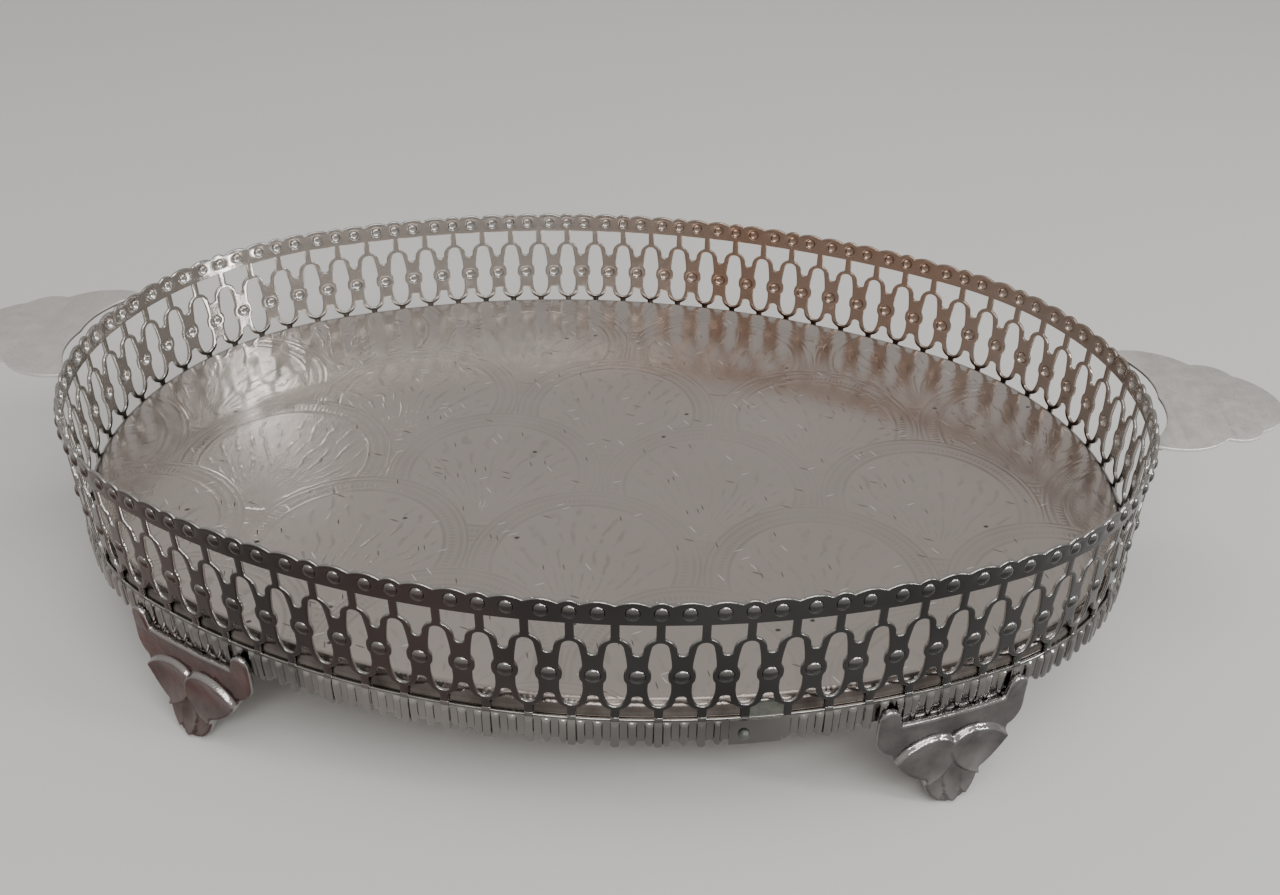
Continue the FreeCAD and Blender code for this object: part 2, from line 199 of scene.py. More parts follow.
def trim(made, axis, low, high):
    """Keeps the part of a mesh between two places on an axis."""
    for place, side in ((low, -1), (high, 1)):
        normal = [0, 0, 0]
        normal[axis] = side
        point = [0, 0, 0]
        point[axis] = place
        everything = made.verts[:] + made.edges[:] + made.faces[:]
        bmesh.ops.bisect_plane(made, geom=everything, plane_co=point, plane_no=normal, clear_outer=True)


class Patch:
    """Gathers meshes drawn flat on the wall, as (run, up, out) in millimetres."""

    def __init__(self):
        self.points = []
        self.faces = []
        self.count = 0

    def add(self, points, faces):
        self.points.append(np.asarray(points, float))
        self.faces += [[index + self.count for index in face] for face in faces]
        self.count += len(points)

    def flat(self):
        return np.vstack(self.points)


def arrays(made):
    made.verts.index_update()
    points = np.array([vertex.co for vertex in made.verts], float)
    return points, [[vertex.index for vertex in face.verts] for face in made.faces]


def new_piece(name, points, faces, sharp_angle):
    """An object from points in metres and faces, welded, with its faces turned outwards."""
    mesh = bpy.data.meshes.new(name)
    mesh.from_pydata([tuple(point) for point in points], [], faces)
    made = bmesh.new()
    made.from_mesh(mesh)
    bmesh.ops.remove_doubles(made, verts=made.verts, dist=WELD * MM)
    bmesh.ops.recalc_face_normals(made, faces=made.faces)
    made.to_mesh(mesh)
    made.free()
    for polygon in mesh.polygons:
        polygon.use_smooth = True
    mesh.set_sharp_from_angle(angle=math.radians(sharp_angle))
    piece = bpy.data.objects.new(name, mesh)
    SCENE.collection.objects.link(piece)
    return piece


def bent_piece(name, patch, sharp_angle):
    """An object from a patch, bent round the oval."""
    flat = patch.flat()
    return new_piece(name, wall_points(flat[:, 0], flat[:, 2], flat[:, 1]), patch.faces, sharp_angle)


# ---------------------------------------------------------------- gallery strip

# Tops, bottoms and depths are measured down from the rim, and a name with HALF in it is half a width.

BAND_DEPTH = 6.1
STRUT = 1.85
LOOP_TOP = 11.0
LOOP_BOTTOM = 29.6
LOOP_HALF = 2.45
LOOP_SHOULDER = 1.75
WAIST_HALF = 1.75
RING = 1.05
BOSS_DEPTH = 20.6
ARCH_BOTTOM = 14.6
NOTCH_TOP = 26.4
NARROW_HALF = 2.25
SCALLOP = 0.9
BEAD_DEPTH = 2.95
BEAD_STEP = 0.62
RAIL = 0.8
STRIP_EDGE = 0.24
BEAD_HOLE = (1.45, 1.6)
BOSS_HOLE = (1.7, 1.7)
BEAD_DOME = (1.56, 1.72, 0.62)
BOSS_DOME = (1.82, 1.82, 0.66)
DOME_SHEET = 0.32
DOME_SIDES = 16
RIB_HALF = 0.27


def loop_opening():
    """The tall opening in each loop, narrowed at its waist by the bosses' discs on either side."""
    top, bottom, waist = RIM - LOOP_TOP, RIM - LOOP_BOTTOM, RIM - BOSS_DEPTH
    swell, disc = 3.0, 1.4
    bulge = (LOOP_HALF - 0.1, (swell + disc) / 2 - 0.1)
    corner = (WAIST_HALF + 0.2, disc)
    return symmetric([
        [(0, top), (LOOP_SHOULDER * 0.66, top - 0.4), (LOOP_SHOULDER, top - 1.4)],
        [(LOOP_SHOULDER, top - 1.4), (LOOP_HALF - 0.25, top - 4), (LOOP_HALF, waist + swell)],
        [(LOOP_HALF, waist + swell), (bulge[0], waist + bulge[1]), (corner[0], waist + disc)],
        [(corner[0], waist + disc), (WAIST_HALF, waist), (corner[0], waist - disc)],
        [(corner[0], waist - disc), (bulge[0], waist - bulge[1]), (LOOP_HALF, waist - swell)],
        [(LOOP_HALF, waist - swell), (LOOP_HALF - 0.1, bottom + 3.4), (LOOP_SHOULDER, bottom + 1.3)],
        [(LOOP_SHOULDER, bottom + 1.3), (LOOP_SHOULDER * 0.66, bottom + 0.38), (0, bottom)],
    ])


def beside_ring(centre, towards):
    """Where an opening follows a loop's round end: from the strut, round a small corner, to the side."""
    radius = LOOP_HALF + RING
    side = (UNIT - STRUT) / 2
    corner_rise, corner_sag, corner_inset = 0.65, 0.22, 0.12

    def on_ring(degrees):
        angle = math.radians(degrees)
        return UNIT / 2 - radius * math.cos(angle), centre + towards * radius * math.sin(angle)

    meets = on_ring(67)
    corner = (side, meets[1] + towards * corner_rise)
    between = (side - corner_inset, meets[1] + towards * corner_sag)
    return [[corner, between, meets], [meets, on_ring(40), on_ring(0)]]


def arch_opening():
    """The opening under the rim band between two loops: square above, then down between their rings."""
    top, bottom = RIM - BAND_DEPTH, RIM - ARCH_BOTTOM
    side = (UNIT - STRUT) / 2
    rounded = beside_ring(RIM - LOOP_TOP - LOOP_HALF, 1)
    corner, ring_side = rounded[0][0], rounded[-1][-1]
    return symmetric([
        [(0, top), (side, top)],
        [(side, top), corner],
        *rounded,
        [ring_side, (ring_side[0] * 0.7, bottom + 0.3), (0, bottom)],
    ])


def notch_opening():
    """The opening between two loops above the flutes: round at the top, square at the foot."""
    top, bottom = RIM - NOTCH_TOP, FLUTE_TOP
    side = (UNIT - STRUT) / 2
    rounded = beside_ring(RIM - LOOP_BOTTOM + LOOP_HALF, -1)
    corner, ring_side = rounded[0][0], rounded[-1][-1]
    return symmetric([
        [(0, top), (ring_side[0] * 0.72, top - 0.25), ring_side],
        [ring_side, rounded[1][1], rounded[1][0]],
        [rounded[0][2], rounded[0][1], corner],
        [corner, (side, bottom)],
        [(side, bottom), (0, bottom)],
    ])


def scalloped_edge(first, last):
    """The rim from right to left over whole pairs of units: a narrow scallop on every other strut."""
    points = []
    steps = 8
    for pair in range(last, first - 1, -1):
        middle = 2 * UNIT * pair
        for left, right in ((UNIT, 2 * UNIT - NARROW_HALF), (NARROW_HALF, UNIT), (-NARROW_HALF, NARROW_HALF)):
            for step in range(steps):
                across = 1 - 2 * step / steps
                run = middle + (left + right) / 2 + across * (right - left) / 2
                points.append((run, RIM - SCALLOP * across ** 2))
    return points


def strip_tile():
    """Two units of the pierced wall, drawn flat from one narrow scallop's middle to the next.

    More units than that are drawn and then trimmed, so that the cuts fall inside the pattern.
    """
    left, right = -2 * UNIT - NARROW_HALF, 6 * UNIT - NARROW_HALF
    outer = [(left, FLUTE_TOP - RAIL), (right, FLUTE_TOP - RAIL)] + scalloped_edge(-1, 2)
    outlines = [outer]
    for index in range(-1, 4):
        strut = index * UNIT
        outlines.append(moved(loop_opening(), strut))
        outlines.append(ellipse(strut + UNIT / 2, RIM - BOSS_DEPTH, *BOSS_HOLE))
        outlines.append(moved(arch_opening(), strut + UNIT / 2))
        outlines.append(moved(notch_opening(), strut + UNIT / 2))
        if index % 2 == 0:
            for step in (-BEAD_STEP, 0, BEAD_STEP):
                outlines.append(ellipse(strut + step * UNIT, RIM - BEAD_DEPTH, *BEAD_HOLE))
    tile = flat_sheet(outlines, STRIP_SHEET, STRIP_EDGE)
    trim(tile, 0, 0, 2 * UNIT)
    slice_up(tile, 0, [UNIT * step / 3 for step in range(1, 6)])
    bmesh.ops.translate(tile, verts=tile.verts, vec=(0, 0, -STRIP_SHEET / 2))
    points, faces = arrays(tile)
    tile.free()
    return points, faces


def dome(width, height, rise):
    """A hollow round dome stamped in the sheet, with its skirt inside the sheet's thickness."""
    # Each ring is a share of the dome's width and a level for level_out.
    outside = ((1.0, -0.5), (1.0, -0.28), (0.96, -0.02), (0.86, 0.3), (0.68, 0.62), (0.42, 0.88),
               (0.16, 0.99))
    inside = ((0.14, 0.99), (0.4, 0.86), (0.66, 0.56), (0.84, 0.2), (0.93, -0.2))
    sides = DOME_SIDES
    points = []
    for share, level in outside:
        points += ring_of(width * share, height * share, level_out(level, rise), sides)
    points.append((0, 0, rise))
    points.append((0, 0, rise - DOME_SHEET))
    for share, level in inside:
        points += ring_of(width * share, height * share, level_out(level, rise) - DOME_SHEET, sides)
    outer_last = (len(outside) - 1) * sides
    tip = outer_last + sides
    inner_first = tip + 2
    inner_last = inner_first + (len(inside) - 1) * sides
    faces = []
    for ring in range(0, outer_last, sides):
        faces += band(ring, ring + sides, sides)
    faces += [[outer_last + side, outer_last + (side + 1) % sides, tip] for side in range(sides)]
    faces += [[inner_first + (side + 1) % sides, inner_first + side, tip + 1] for side in range(sides)]
    for ring in range(inner_first, inner_last, sides):
        faces += band(ring, ring + sides, sides)
    faces += band(inner_last, 0, sides)
    return np.array(points), faces


def level_out(level, rise):
    """A dome's height out of the wall from its share of the rise; shares below 0 are depths in mm."""
    return level * rise if level > 0 else level


def ring_of(width, height, out, sides):
    return [(width * math.cos(math.tau * side / sides), height * math.sin(math.tau * side / sides), out)
            for side in range(sides)]


def band(first, second, sides):
    """Faces between two rings of points."""
    return [[first + side, first + (side + 1) % sides, second + (side + 1) % sides, second + side]
            for side in range(sides)]


def joint_distance(run):
    return np.abs((run - JOINT_RUN + PERIMETER / 2) % PERIMETER - PERIMETER / 2)


def fluted_band(patch):
    """The fluted foot of the strip: round ribs side by side, with rounded tips, none at the joint."""
    # Places across one flute, as shares of the pitch from the middle of its rib.
    across = np.array([-0.5, -0.38, -0.29, -0.26, -0.22, -0.15, -0.06, 0.06, 0.15, 0.22, 0.26, 0.29, 0.38])
    run = (UNIT + (np.arange(FLUTES)[:, None] + across[None, :]) * FLUTE_PITCH + UNIT / 2).ravel()
    across = np.tile(across, FLUTES)
    rib = np.sqrt(np.clip(1 - (np.abs(across) / RIB_HALF) ** 2, 0, 1))
    bulge = np.where(joint_distance(run) < FLUTE_EMPTY, 0.0, FLUTE_BULGE) * rib
    rounding, gap_rise = 1.0, 0.35
    tip = STRIP_LOW + rounding * (1 - rib) + gap_rise * (1 - np.cos(math.tau * across)) / 2
    top = FLUTE_TOP - 0.25
    back = np.full_like(run, -STRIP_SHEET)
    # The section goes from the tip up the face and down the back, as (height, out).
    section = [
        (tip, back * 0.6), (tip + 0.12, bulge * 0.35 - 0.1), (tip + 0.45, bulge * 0.8), (tip + 1.0, bulge),
        (top - 1.3, bulge), (top - 0.8, bulge * 0.75), (top - 0.5, bulge * 0.3), (top - 0.4, bulge * 0.1),
        (top, back * 0.2), (top, back), (tip + 0.3, back),
    ]
    points = np.concatenate([np.column_stack([run, np.broadcast_to(height, run.shape), out])
                             for height, out in section])
    columns = len(run)
    faces = []
    for row in range(len(section)):
        faces += band(row * columns, (row + 1) % len(section) * columns, columns)
    patch.add(points, faces)


def strut_bar():
    """A flat bar that carries a strut on down over the flutes to their tips, sinking in at its top."""
    low, high = STRIP_LOW + 0.15, FLUTE_TOP + 0.7
    half = STRUT / 2
    thickness, edge = 0.7, 0.2
    sink_length, sink_depth = 2.4, 0.62
    proud = FLUTE_BULGE - 0.02
    bar = flat_sheet([symmetric([
        [(0, high), (half, high)],
        [(half, high), (half, low + 0.5)],
        [(half, low + 0.5), (half * 0.7, low + 0.1), (0, low)],
    ], 4)], thickness, edge)
    slice_up(bar, 1, [high - 0.8, high - 1.6, high - sink_length])
    points, faces = arrays(bar)
    bar.free()
    sunk = np.clip((points[:, 1] - (high - sink_length)) / sink_length, 0, 1)
    points[:, 2] += proud - thickness / 2 - sink_depth * sunk
    return points, faces


def make_gallery():
    """The whole wall: bars, the pierced tile repeated round the oval, its beads and bosses, and flutes."""
    patch = Patch()
    tile, tile_faces = strip_tile()
    bead, bead_faces = dome(*BEAD_DOME)
    boss, boss_faces = dome(*BOSS_DOME)
    bar, bar_faces = strut_bar()
    for strut in range(UNITS):
        run = (strut + 0.5) * UNIT
        if joint_distance(run) > FLUTE_EMPTY:
            patch.add(bar + (run, 0, 0), bar_faces)
    for pair in range(UNITS // 2):
        start = UNIT / 2 + 2 * UNIT * pair
        patch.add(tile + (start, 0, 0), tile_faces)
        for step in (-BEAD_STEP, 0, BEAD_STEP):
            patch.add(bead + (start + step * UNIT, RIM - BEAD_DEPTH, 0), bead_faces)
        for step in (0.5, 1.5):
            patch.add(boss + (start + step * UNIT, RIM - BOSS_DEPTH, 0), boss_faces)
    fluted_band(patch)
    gallery = bent_piece("gallery_wall", patch, 40)
    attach(gallery, "root")
    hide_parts("gallery_strip")
    return gallery


# ---------------------------------------------------------------- base

def make_base():
    """The pressed base: flat floor, rolled shoulder and skirt, with its real thickness."""
    columns = 400
    run = np.arange(columns) * PERIMETER / columns
    face = -STRIP_SHEET - 0.01
    plate_edge, ring_edge = face - 9, face - 5.5
    turns = [math.radians(angle) for angle in range(0, 91, 15)]
    outside = [(face - SHOULDER + SHOULDER * math.cos(turn), FLOOR - SHOULDER + SHOULDER * math.sin(turn))
               for turn in turns]
    bend = SHOULDER - BASE_SHEET
    inside = [(face - SHOULDER + bend * math.cos(turn), FLOOR - SHOULDER + bend * math.sin(turn))
              for turn in turns]
    lip = BASE_SHEET * 0.3
    section = [(plate_edge, FLOOR), (ring_edge, FLOOR)] + outside[::-1]
    section += [(face, SKIRT_LOW + lip), (face - lip, SKIRT_LOW), (face - BASE_SHEET + lip, SKIRT_LOW)]
    section += [(face - BASE_SHEET, SKIRT_LOW + lip)] + inside + [(plate_edge, FLOOR - BASE_SHEET)]
    points = np.concatenate([wall_points(run, out, height) for out, height in section])
    faces = []
    for row in range(len(section) - 1):
        faces += band(row * columns, (row + 1) * columns, columns)
    last = (len(section) - 1) * columns
    faces.append(list(range(columns)))
    faces.append(list(range(last + columns - 1, last - 1, -1)))
    base = new_piece("tray_base", points, faces, 60)
    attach(base, "root")
    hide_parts("base_tray")
    return base


# ---------------------------------------------------------------- handles

HORN = 4.4
HANDLE_HOLLOW = 2.2
HANDLE_EDGE = 0.26


def handle_outline():
    """A handle from above, as (across, beyond the tray's end): scalloped outside, hollow inside."""
    half, reach, inner = HANDLE_HALF, HANDLE_REACH, HANDLE_HALF - HORN
    overlap = 0.1

    def on_wall(across):
        return END_X - HALF_LENGTH + math.sqrt(END_RADIUS ** 2 - across ** 2) - overlap

    # Two notches part the lobes on each side.
    first, second = (half * 0.762, 14.5), (half * 0.57, 24.0)
    return symmetric([
        [(0, HANDLE_HOLLOW), (inner * 0.72, (on_wall(inner * 0.72) + HANDLE_HOLLOW) / 2 + 0.2),
         (inner, on_wall(inner))],
        [(inner, on_wall(inner)), (half - 1.2, on_wall(half - 1.2)), (half, on_wall(half))],
        [(half, on_wall(half)), (half * 0.98, 7.4), first],
        [first, (half * 0.745, 20.2), second],
        [second, (half * 0.29, reach * 0.942), (0, reach)],
    ], 8)


def make_handle(name, node, turn):
    """The right handle's shape, turned about the tray's middle."""
    sheet = flat_sheet([handle_outline()], (handle_high.z - handle_low.z) / MM, HANDLE_EDGE)
    slice_up(sheet, 1, range(-2, 32, 3))
    points, faces = arrays(sheet)
    sheet.free()
    middle = (handle_low.z + handle_high.z) / 2 / MM
    placed = np.column_stack([HALF_LENGTH + points[:, 1], points[:, 0], middle + points[:, 2]]) * MM
    handle = new_piece(name, placed, faces, 50)
    handle.data.transform(Matrix.Rotation(turn, 4, "Z"))
    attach(handle, "root")
    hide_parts(node)
    return handle


# ---------------------------------------------------------------- feet

FOOT_HALF = 18.8
EAR = 5.7
EAR_RISE = 6.0
LEDGE_LIP = 0.9
FOOT_SHEET = 1.9
FOOT_EDGE = 0.7
VOXEL = 0.27

# The blocks that make the ledge, as (middle above the strip's foot, out of the wall, height, depth).
SEATS = ((-1.2, -0.1, 3.2, 4.0), (0.0, -1.05, 3.6, 1.9))
SEAT_LENGTH = 30.0


def foot_outline():
    """A foot's front outline, as (across, up): two ears, a ledge, then three tiers of lobes."""
    half, ledge = FOOT_HALF, STRIP_LOW
    inner, ear_top = half - EAR, ledge + EAR_RISE
    toe_half, toe_low = 1.4, 0.1
    # Two notches part the tiers on each side.
    first, second = (half * 0.79, ledge - 7.8), (half * 0.36, ledge - 15.8)
    return symmetric([
        [(0, ledge + LEDGE_LIP), (inner, ledge + LEDGE_LIP)],
        [(inner, ledge + LEDGE_LIP), (inner + 0.7, ear_top - 2)],
        [(inner + 0.7, ear_top - 2), (half - EAR * 0.45, ear_top), (half, ear_top - 2.6)],
        [(half, ear_top - 2.6), (half, ledge - 2)],
        [(half, ledge - 2), (half * 0.94, ledge - 5.8), first],
        [first, (half * 0.63, ledge - 12.9), second],
        [second, (half * 0.26, ledge - 21.3), (toe_half, toe_low)],
        [(toe_half, toe_low), (0, toe_low)],
    ], 8)


def flare(height):
    """How far out the middle of a foot's casting is at a height: straight above, swept out below."""
    above, sweep, power = 1.5, 4.7, 1.6
    return above + sweep * np.clip(1 - height / STRIP_LOW, 0, 1) ** power


def petal(across, up, middle, radii, tilt, rise):
    """How high a dished petal with a crisp raised rim stands over a foot's face, at some points."""
    turn = math.radians(tilt)
    along = (across - middle[0]) * math.cos(turn) + (up - middle[1]) * math.sin(turn)
    beside = (up - middle[1]) * math.cos(turn) - (across - middle[0]) * math.sin(turn)
    share = np.hypot(along / radii[0], beside / radii[1])
    rim_end, rim_width, bottom = 1.1, 0.1, 0.4
    fall = np.clip((rim_end - share) / rim_width, 0, 1)
    return rise * (bottom + 0.6 * share ** 2) * fall * fall * (3 - 2 * fall)


def face_relief(across, up):
    """The palmette on a foot: two broad petals, two small ones at the toe and an upright leaf between."""
    heights = [petal(across, up, (0, 7.2), (2.3, 6.2), 0, 0.9)]
    for side in (1, -1):
        heights.append(petal(across, up, (side * 7.4, 12.4), (8.4, 5.6), side * -27, 1.35 + side * 0.1))
        heights.append(petal(across, up, (side * 4.0, 5.6), (2.7, 4.6), side * 16, 0.45))
    return np.max(heights, axis=0)


def foot_blank():
    """A foot before it is one casting: a lobed plate swept out at its toe, and the blocks of its ledge."""
    made = flat_sheet([foot_outline()], FOOT_SHEET, FOOT_EDGE, 3)
    slice_up(made, 1, [STRIP_LOW + EAR_RISE - 1.3 * step for step in range(1, 23)])
    slice_up(made, 0, [-15, -10, -5, 0, 5, 10, 15])
    for vertex in made.verts:
        vertex.co.z += float(flare(np.array(vertex.co.y)))
    for middle_up, out, tall, deep in SEATS:
        middle = Matrix.Translation((0, STRIP_LOW + middle_up, out))
        bmesh.ops.create_cube(made, size=1.0, matrix=middle @ Matrix.Diagonal((SEAT_LENGTH, tall, deep, 1)))
    return made


def one_skin(made):
    """A mesh whose overlapping parts are joined in one softened skin."""
    mesh = bpy.data.meshes.new("foot")
    bmesh.ops.recalc_face_normals(made, faces=made.faces)
    made.to_mesh(mesh)
    made.free()
    casting = bpy.data.objects.new("foot", mesh)
    SCENE.collection.objects.link(casting)
    remesh = casting.modifiers.new("one_skin", "REMESH")
    remesh.mode = "VOXEL"
    remesh.voxel_size = VOXEL
    smooth = casting.modifiers.new("soft", "SMOOTH")
    smooth.factor = 0.5
    smooth.iterations = 2
    shaped = casting.evaluated_get(bpy.context.evaluated_depsgraph_get())
    result = bmesh.new()
    result.from_mesh(bpy.data.meshes.new_from_object(shaped))
    bpy.data.objects.remove(casting)
    return result


def cut_sole(made):
    """Cuts a foot level just above the table and closes the cut."""
    everything = made.verts[:] + made.edges[:] + made.faces[:]
    cut = bmesh.ops.bisect_plane(made, geom=everything, plane_co=(0, 0.02, 0), plane_no=(0, -1, 0),
                                 clear_outer=True)
    rim = [item for item in cut["geom_cut"] if isinstance(item, bmesh.types.BMEdge)]
    bmesh.ops.contextual_create(made, geom=rim)


def foot_shape():
    """One foot drawn flat as (across, up, out), with the petals raised where its face looks outwards."""
    made = one_skin(foot_blank())
    cut_sole(made)
    points, faces = arrays(made)
    facing = np.array([max(vertex.normal.z, 0.0) for vertex in made.verts])
    made.free()
    points[:, 2] += face_relief(points[:, 0], points[:, 1]) * np.clip(facing * 2 - 0.4, 0, 1)
    return points, faces


def make_feet():
    """Four feet of one shape, each bent to the wall at its place."""
    points, faces = foot_shape()
    half_way = PERIMETER / 2
    runs = {"rear_right": FOOT_RUN, "rear_left": half_way - FOOT_RUN,
            "front_left": half_way + FOOT_RUN, "front_right": -FOOT_RUN}
    feet = []
    for place, run in runs.items():
        patch = Patch()
        patch.add(points + (run, 0, 0), faces)
        foot = bent_piece(f"cast_foot_{place}", patch, 80)
        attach(foot, "root")
        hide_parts(f"foot_{place}")
        feet.append(foot)
    return feet


# ---------------------------------------------------------------- solder

SKIN_DEPTH = 0.22
SKIN_SCALE = 1.1
SKIN_SEED = 7
BEAD_RADII = (0.9, 1.9, 0.8)


def lumps(name, node, places):
    """Rough beads of solder: (point in metres, radii in mm) each, with an uneven skin."""
    made = bmesh.new()
    noise.seed_set(SKIN_SEED)
    for point, radii in places:
        place = Matrix.Translation(Vector(point) / MM)
        found = bmesh.ops.create_icosphere(made, subdivisions=4, radius=1.0,
                                           matrix=place @ Matrix.Diagonal((*radii, 1)))
        for vertex in found["verts"]:
            vertex.co += SKIN_DEPTH * noise.noise_vector(vertex.co * SKIN_SCALE)
    points, faces = arrays(made)
    made.free()
    solder = new_piece(name, points * MM, faces, 80)
    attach(solder, "root")
    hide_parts(node)
    return solder


def make_handle_solder():
    """A bead in the corner under each of the handles' horns."""
    across = HANDLE_HALF - HORN / 2
    wall_x = END_X + math.sqrt(END_RADIUS ** 2 - across ** 2)
    under = handle_low.z / MM
    places = []
    for end in (1, -1):
        for side in (1, -1):
            point = Vector((end * (wall_x + 0.25), side * across, under - 0.1)) * MM
            places.append((point, BEAD_RADII))
    return lumps("handle_solder_beads", "handle_solder", places)


# ---------------------------------------------------------------- materials

class Graph:
    """A material's nodes, with short calls for the ones that its textures use."""

    def __init__(self, name):
        self.material = bpy.data.materials.new(name)
        self.material.use_nodes = True
        self.tree = self.material.node_tree
        self.shader = self.tree.nodes["Principled BSDF"]

    def node(self, kind, **settings):
        made = self.tree.nodes.new(kind)
        for key, value in settings.items():
            setattr(made, key, value)
        return made

    def link(self, source, target):
        if hasattr(source, "node"):
            self.tree.links.new(source, target)
        else:
            target.default_value = source

    def math(self, operation, *values):
        made = self.node("ShaderNodeMath", operation=operation)
        for value, socket in zip(values, made.inputs):
            self.link(value, socket)
        return made.outputs[0]

    def place(self):
        return self.node("ShaderNodeTexCoord").outputs["Object"]

    def noise(self, scale, detail, stretch=(1, 1, 1)):
        shift = self.node("ShaderNodeMapping")
        shift.inputs["Scale"].default_value = stretch
        self.link(self.place(), shift.inputs["Vector"])
        made = self.node("ShaderNodeTexNoise")
        made.inputs["Scale"].default_value = scale
        made.inputs["Detail"].default_value = detail
        self.link(shift.outputs[0], made.inputs["Vector"])
        return made.outputs["Fac"]

    def ramp(self, source, *stops):
        """Maps a value through (position, value or colour) stops."""
        made = self.node("ShaderNodeValToRGB")
        elements = made.color_ramp.elements
        while len(elements) < len(stops):
            elements.new(0.5)
        for element, (position, value) in zip(elements, stops):
            element.position = position
            element.color = (value, value, value, 1) if isinstance(value, (int, float)) else (*value, 1)
        self.link(source, made.inputs[0])
        return made.outputs[0]

    def mix(self, share, first, second):
        made = self.node("ShaderNodeMix", data_type="RGBA")
        self.link(share, made.inputs[0])
        for value, socket in ((first, made.inputs[6]), (second, made.inputs[7])):
            self.link(value if hasattr(value, "node") else (*value, 1), socket)
        return made.outputs[2]

    def bump(self, height, strength, distance, under=None):
        made = self.node("ShaderNodeBump")
        made.inputs["Strength"].default_value = strength
        made.inputs["Distance"].default_value = distance
        self.link(height, made.inputs["Height"])
        if under is not None:
            self.link(under, made.inputs["Normal"])
        return made.outputs[0]

    def finish(self, colour, roughness, normal=None, metallic=1.0):
        self.shader.inputs["Metallic"].default_value = metallic
        self.link(colour, self.shader.inputs["Base Color"])
        self.link(roughness, self.shader.inputs["Roughness"])
        if normal is not None:
            self.link(normal, self.shader.inputs["Normal"])
        return self.material


def painted_reflection_mask(graph):
    """How far a surface faces away from the tray's middle and not upwards, 0 to 1, which is how much painted
    dark reflection it gets; and its place.

    The two factors, per metre, weigh the oval's length and width alike.
    """
    by_length, by_width = 8.0, 11.0
    geometry = graph.node("ShaderNodeNewGeometry")
    normal = graph.node("ShaderNodeSeparateXYZ")
    graph.link(geometry.outputs["Normal"], normal.inputs[0])
    place = graph.node("ShaderNodeSeparateXYZ")
    graph.link(graph.place(), place.inputs[0])
    along = graph.math("MULTIPLY", normal.outputs[0], graph.math("MULTIPLY", place.outputs[0], by_length))
    across = graph.math("MULTIPLY", normal.outputs[1],
                        graph.math("MULTIPLY", place.outputs[1], by_width))
    away = graph.ramp(graph.math("ADD", along, across), (0.0, 0.0), (0.35, 1.0))
    # Painted light: faces that look up get less of the painted dark reflection, as if they mirrored a bright
    # room above.
    dark_unless_facing_up = graph.ramp(normal.outputs[2], (0.1, 1.0), (0.5, 0.55), (0.95, 0.0))
    return graph.math("MULTIPLY", away, dark_unless_facing_up), place.outputs


# A lighter tone painted over the flutes' dark reflection as a painted sheen, standing in for their
# highlights.
FLUTE_PAINTED_SHEEN = (0.42, 0.40, 0.385)


def plate_with_painted_reflections(name, cloud_scale, inside, inside_warm_reflection, outside, outside_red_reflection, flute_sheen_share, shine, grain):
    """Silver plate painted with reflections: bright where it faces the tray's middle, dark where it faces
    outwards.

    The dark tone is a painted reflection, standing in for a dark table mirrored in the plate. The inside
    has a painted warm reflection at the right of the back wall, and the outside a painted red reflection
    towards the left. flute_sheen_share is how much of FLUTE_PAINTED_SHEEN, a painted lighter sheen, is
    mixed in outside below the pierced wall, shine is the least roughness, and grain is the bump's strength.
    """
    graph = Graph(name)
    away, (along, across, up) = painted_reflection_mask(graph)
    cloud = graph.ramp(graph.noise(cloud_scale, 3), (0.35, 0.0), (0.7, 1.0))
    end = graph.math("MULTIPLY_ADD", graph.noise(9, 1), 0.16, along)
    # Painted reflection: a warm tint on the inside at the right of the back wall.
    painted_warm_inside = graph.math("MULTIPLY", graph.ramp(end, (0.08, 0.0), (0.15, 1.0), (0.19, 0.6)),
                             graph.ramp(across, (0.0, 0.0), (0.03, 1.0)))
    # Painted reflection: a red tint on the outside towards the left.
    painted_red_outside = graph.ramp(graph.math("SUBTRACT", 0.16, end), (0.05, 0.0), (0.2, 1.0))
    bright = graph.mix(painted_warm_inside, inside, inside_warm_reflection)
    dark = graph.mix(painted_red_outside, outside, outside_red_reflection)
    # Painted sheen on the flutes below the pierced wall.
    below = graph.math("LESS_THAN", up, (FLUTE_TOP - 0.3) * MM)
    dark = graph.mix(graph.math("MULTIPLY", below, flute_sheen_share), dark, FLUTE_PAINTED_SHEEN)
    # Painted reflections: the bright tone where a face looks in, the dark one where it looks out.
    colour = graph.mix(away, bright, dark)
    # Tarnished clouds laid only over the painted dark reflection, so partly tarnishing and partly painted
    # reflection.
    tarnish_and_painted_dark = graph.math("MULTIPLY", graph.math("MULTIPLY", cloud, away), 0.7)
    colour = graph.mix(tarnish_and_painted_dark, colour, tuple(0.35 * value for value in outside))
    roughness = graph.ramp(graph.noise(190, 4), (0.3, shine), (0.75, shine + 0.14))
    normal = graph.bump(graph.noise(420, 3), grain, 0.0003)
    return graph.finish(colour, roughness, normal)


def polished_plate():
    """The wall and the joint's plate, painted with a light reflection inside and a near black one outside."""
    return plate_with_painted_reflections("polished_plate", cloud_scale=22, inside=(0.46, 0.45, 0.43),
                      inside_warm_reflection=(0.36, 0.25, 0.19), outside=(0.062, 0.06, 0.06),
                      outside_red_reflection=(0.085, 0.045, 0.04), flute_sheen_share=0.5, shine=0.08, grain=0.12)


def cast_plate():
    """The feet, painted with a light reflection inside and a dark one outside, redder towards the left."""
    return plate_with_painted_reflections("cast_plate", cloud_scale=150, inside=(0.42, 0.41, 0.40),
                      inside_warm_reflection=(0.42, 0.39, 0.37), outside=(0.15, 0.14, 0.14),
                      outside_red_reflection=(0.12, 0.05, 0.045), flute_sheen_share=0.0, shine=0.06, grain=0.5)


SCALE_RADIUS = 29.0
SCALE_ROW = 34.0
SCALE_SHIFT = (1.0, 12.0)
ROWS_BELOW = 4


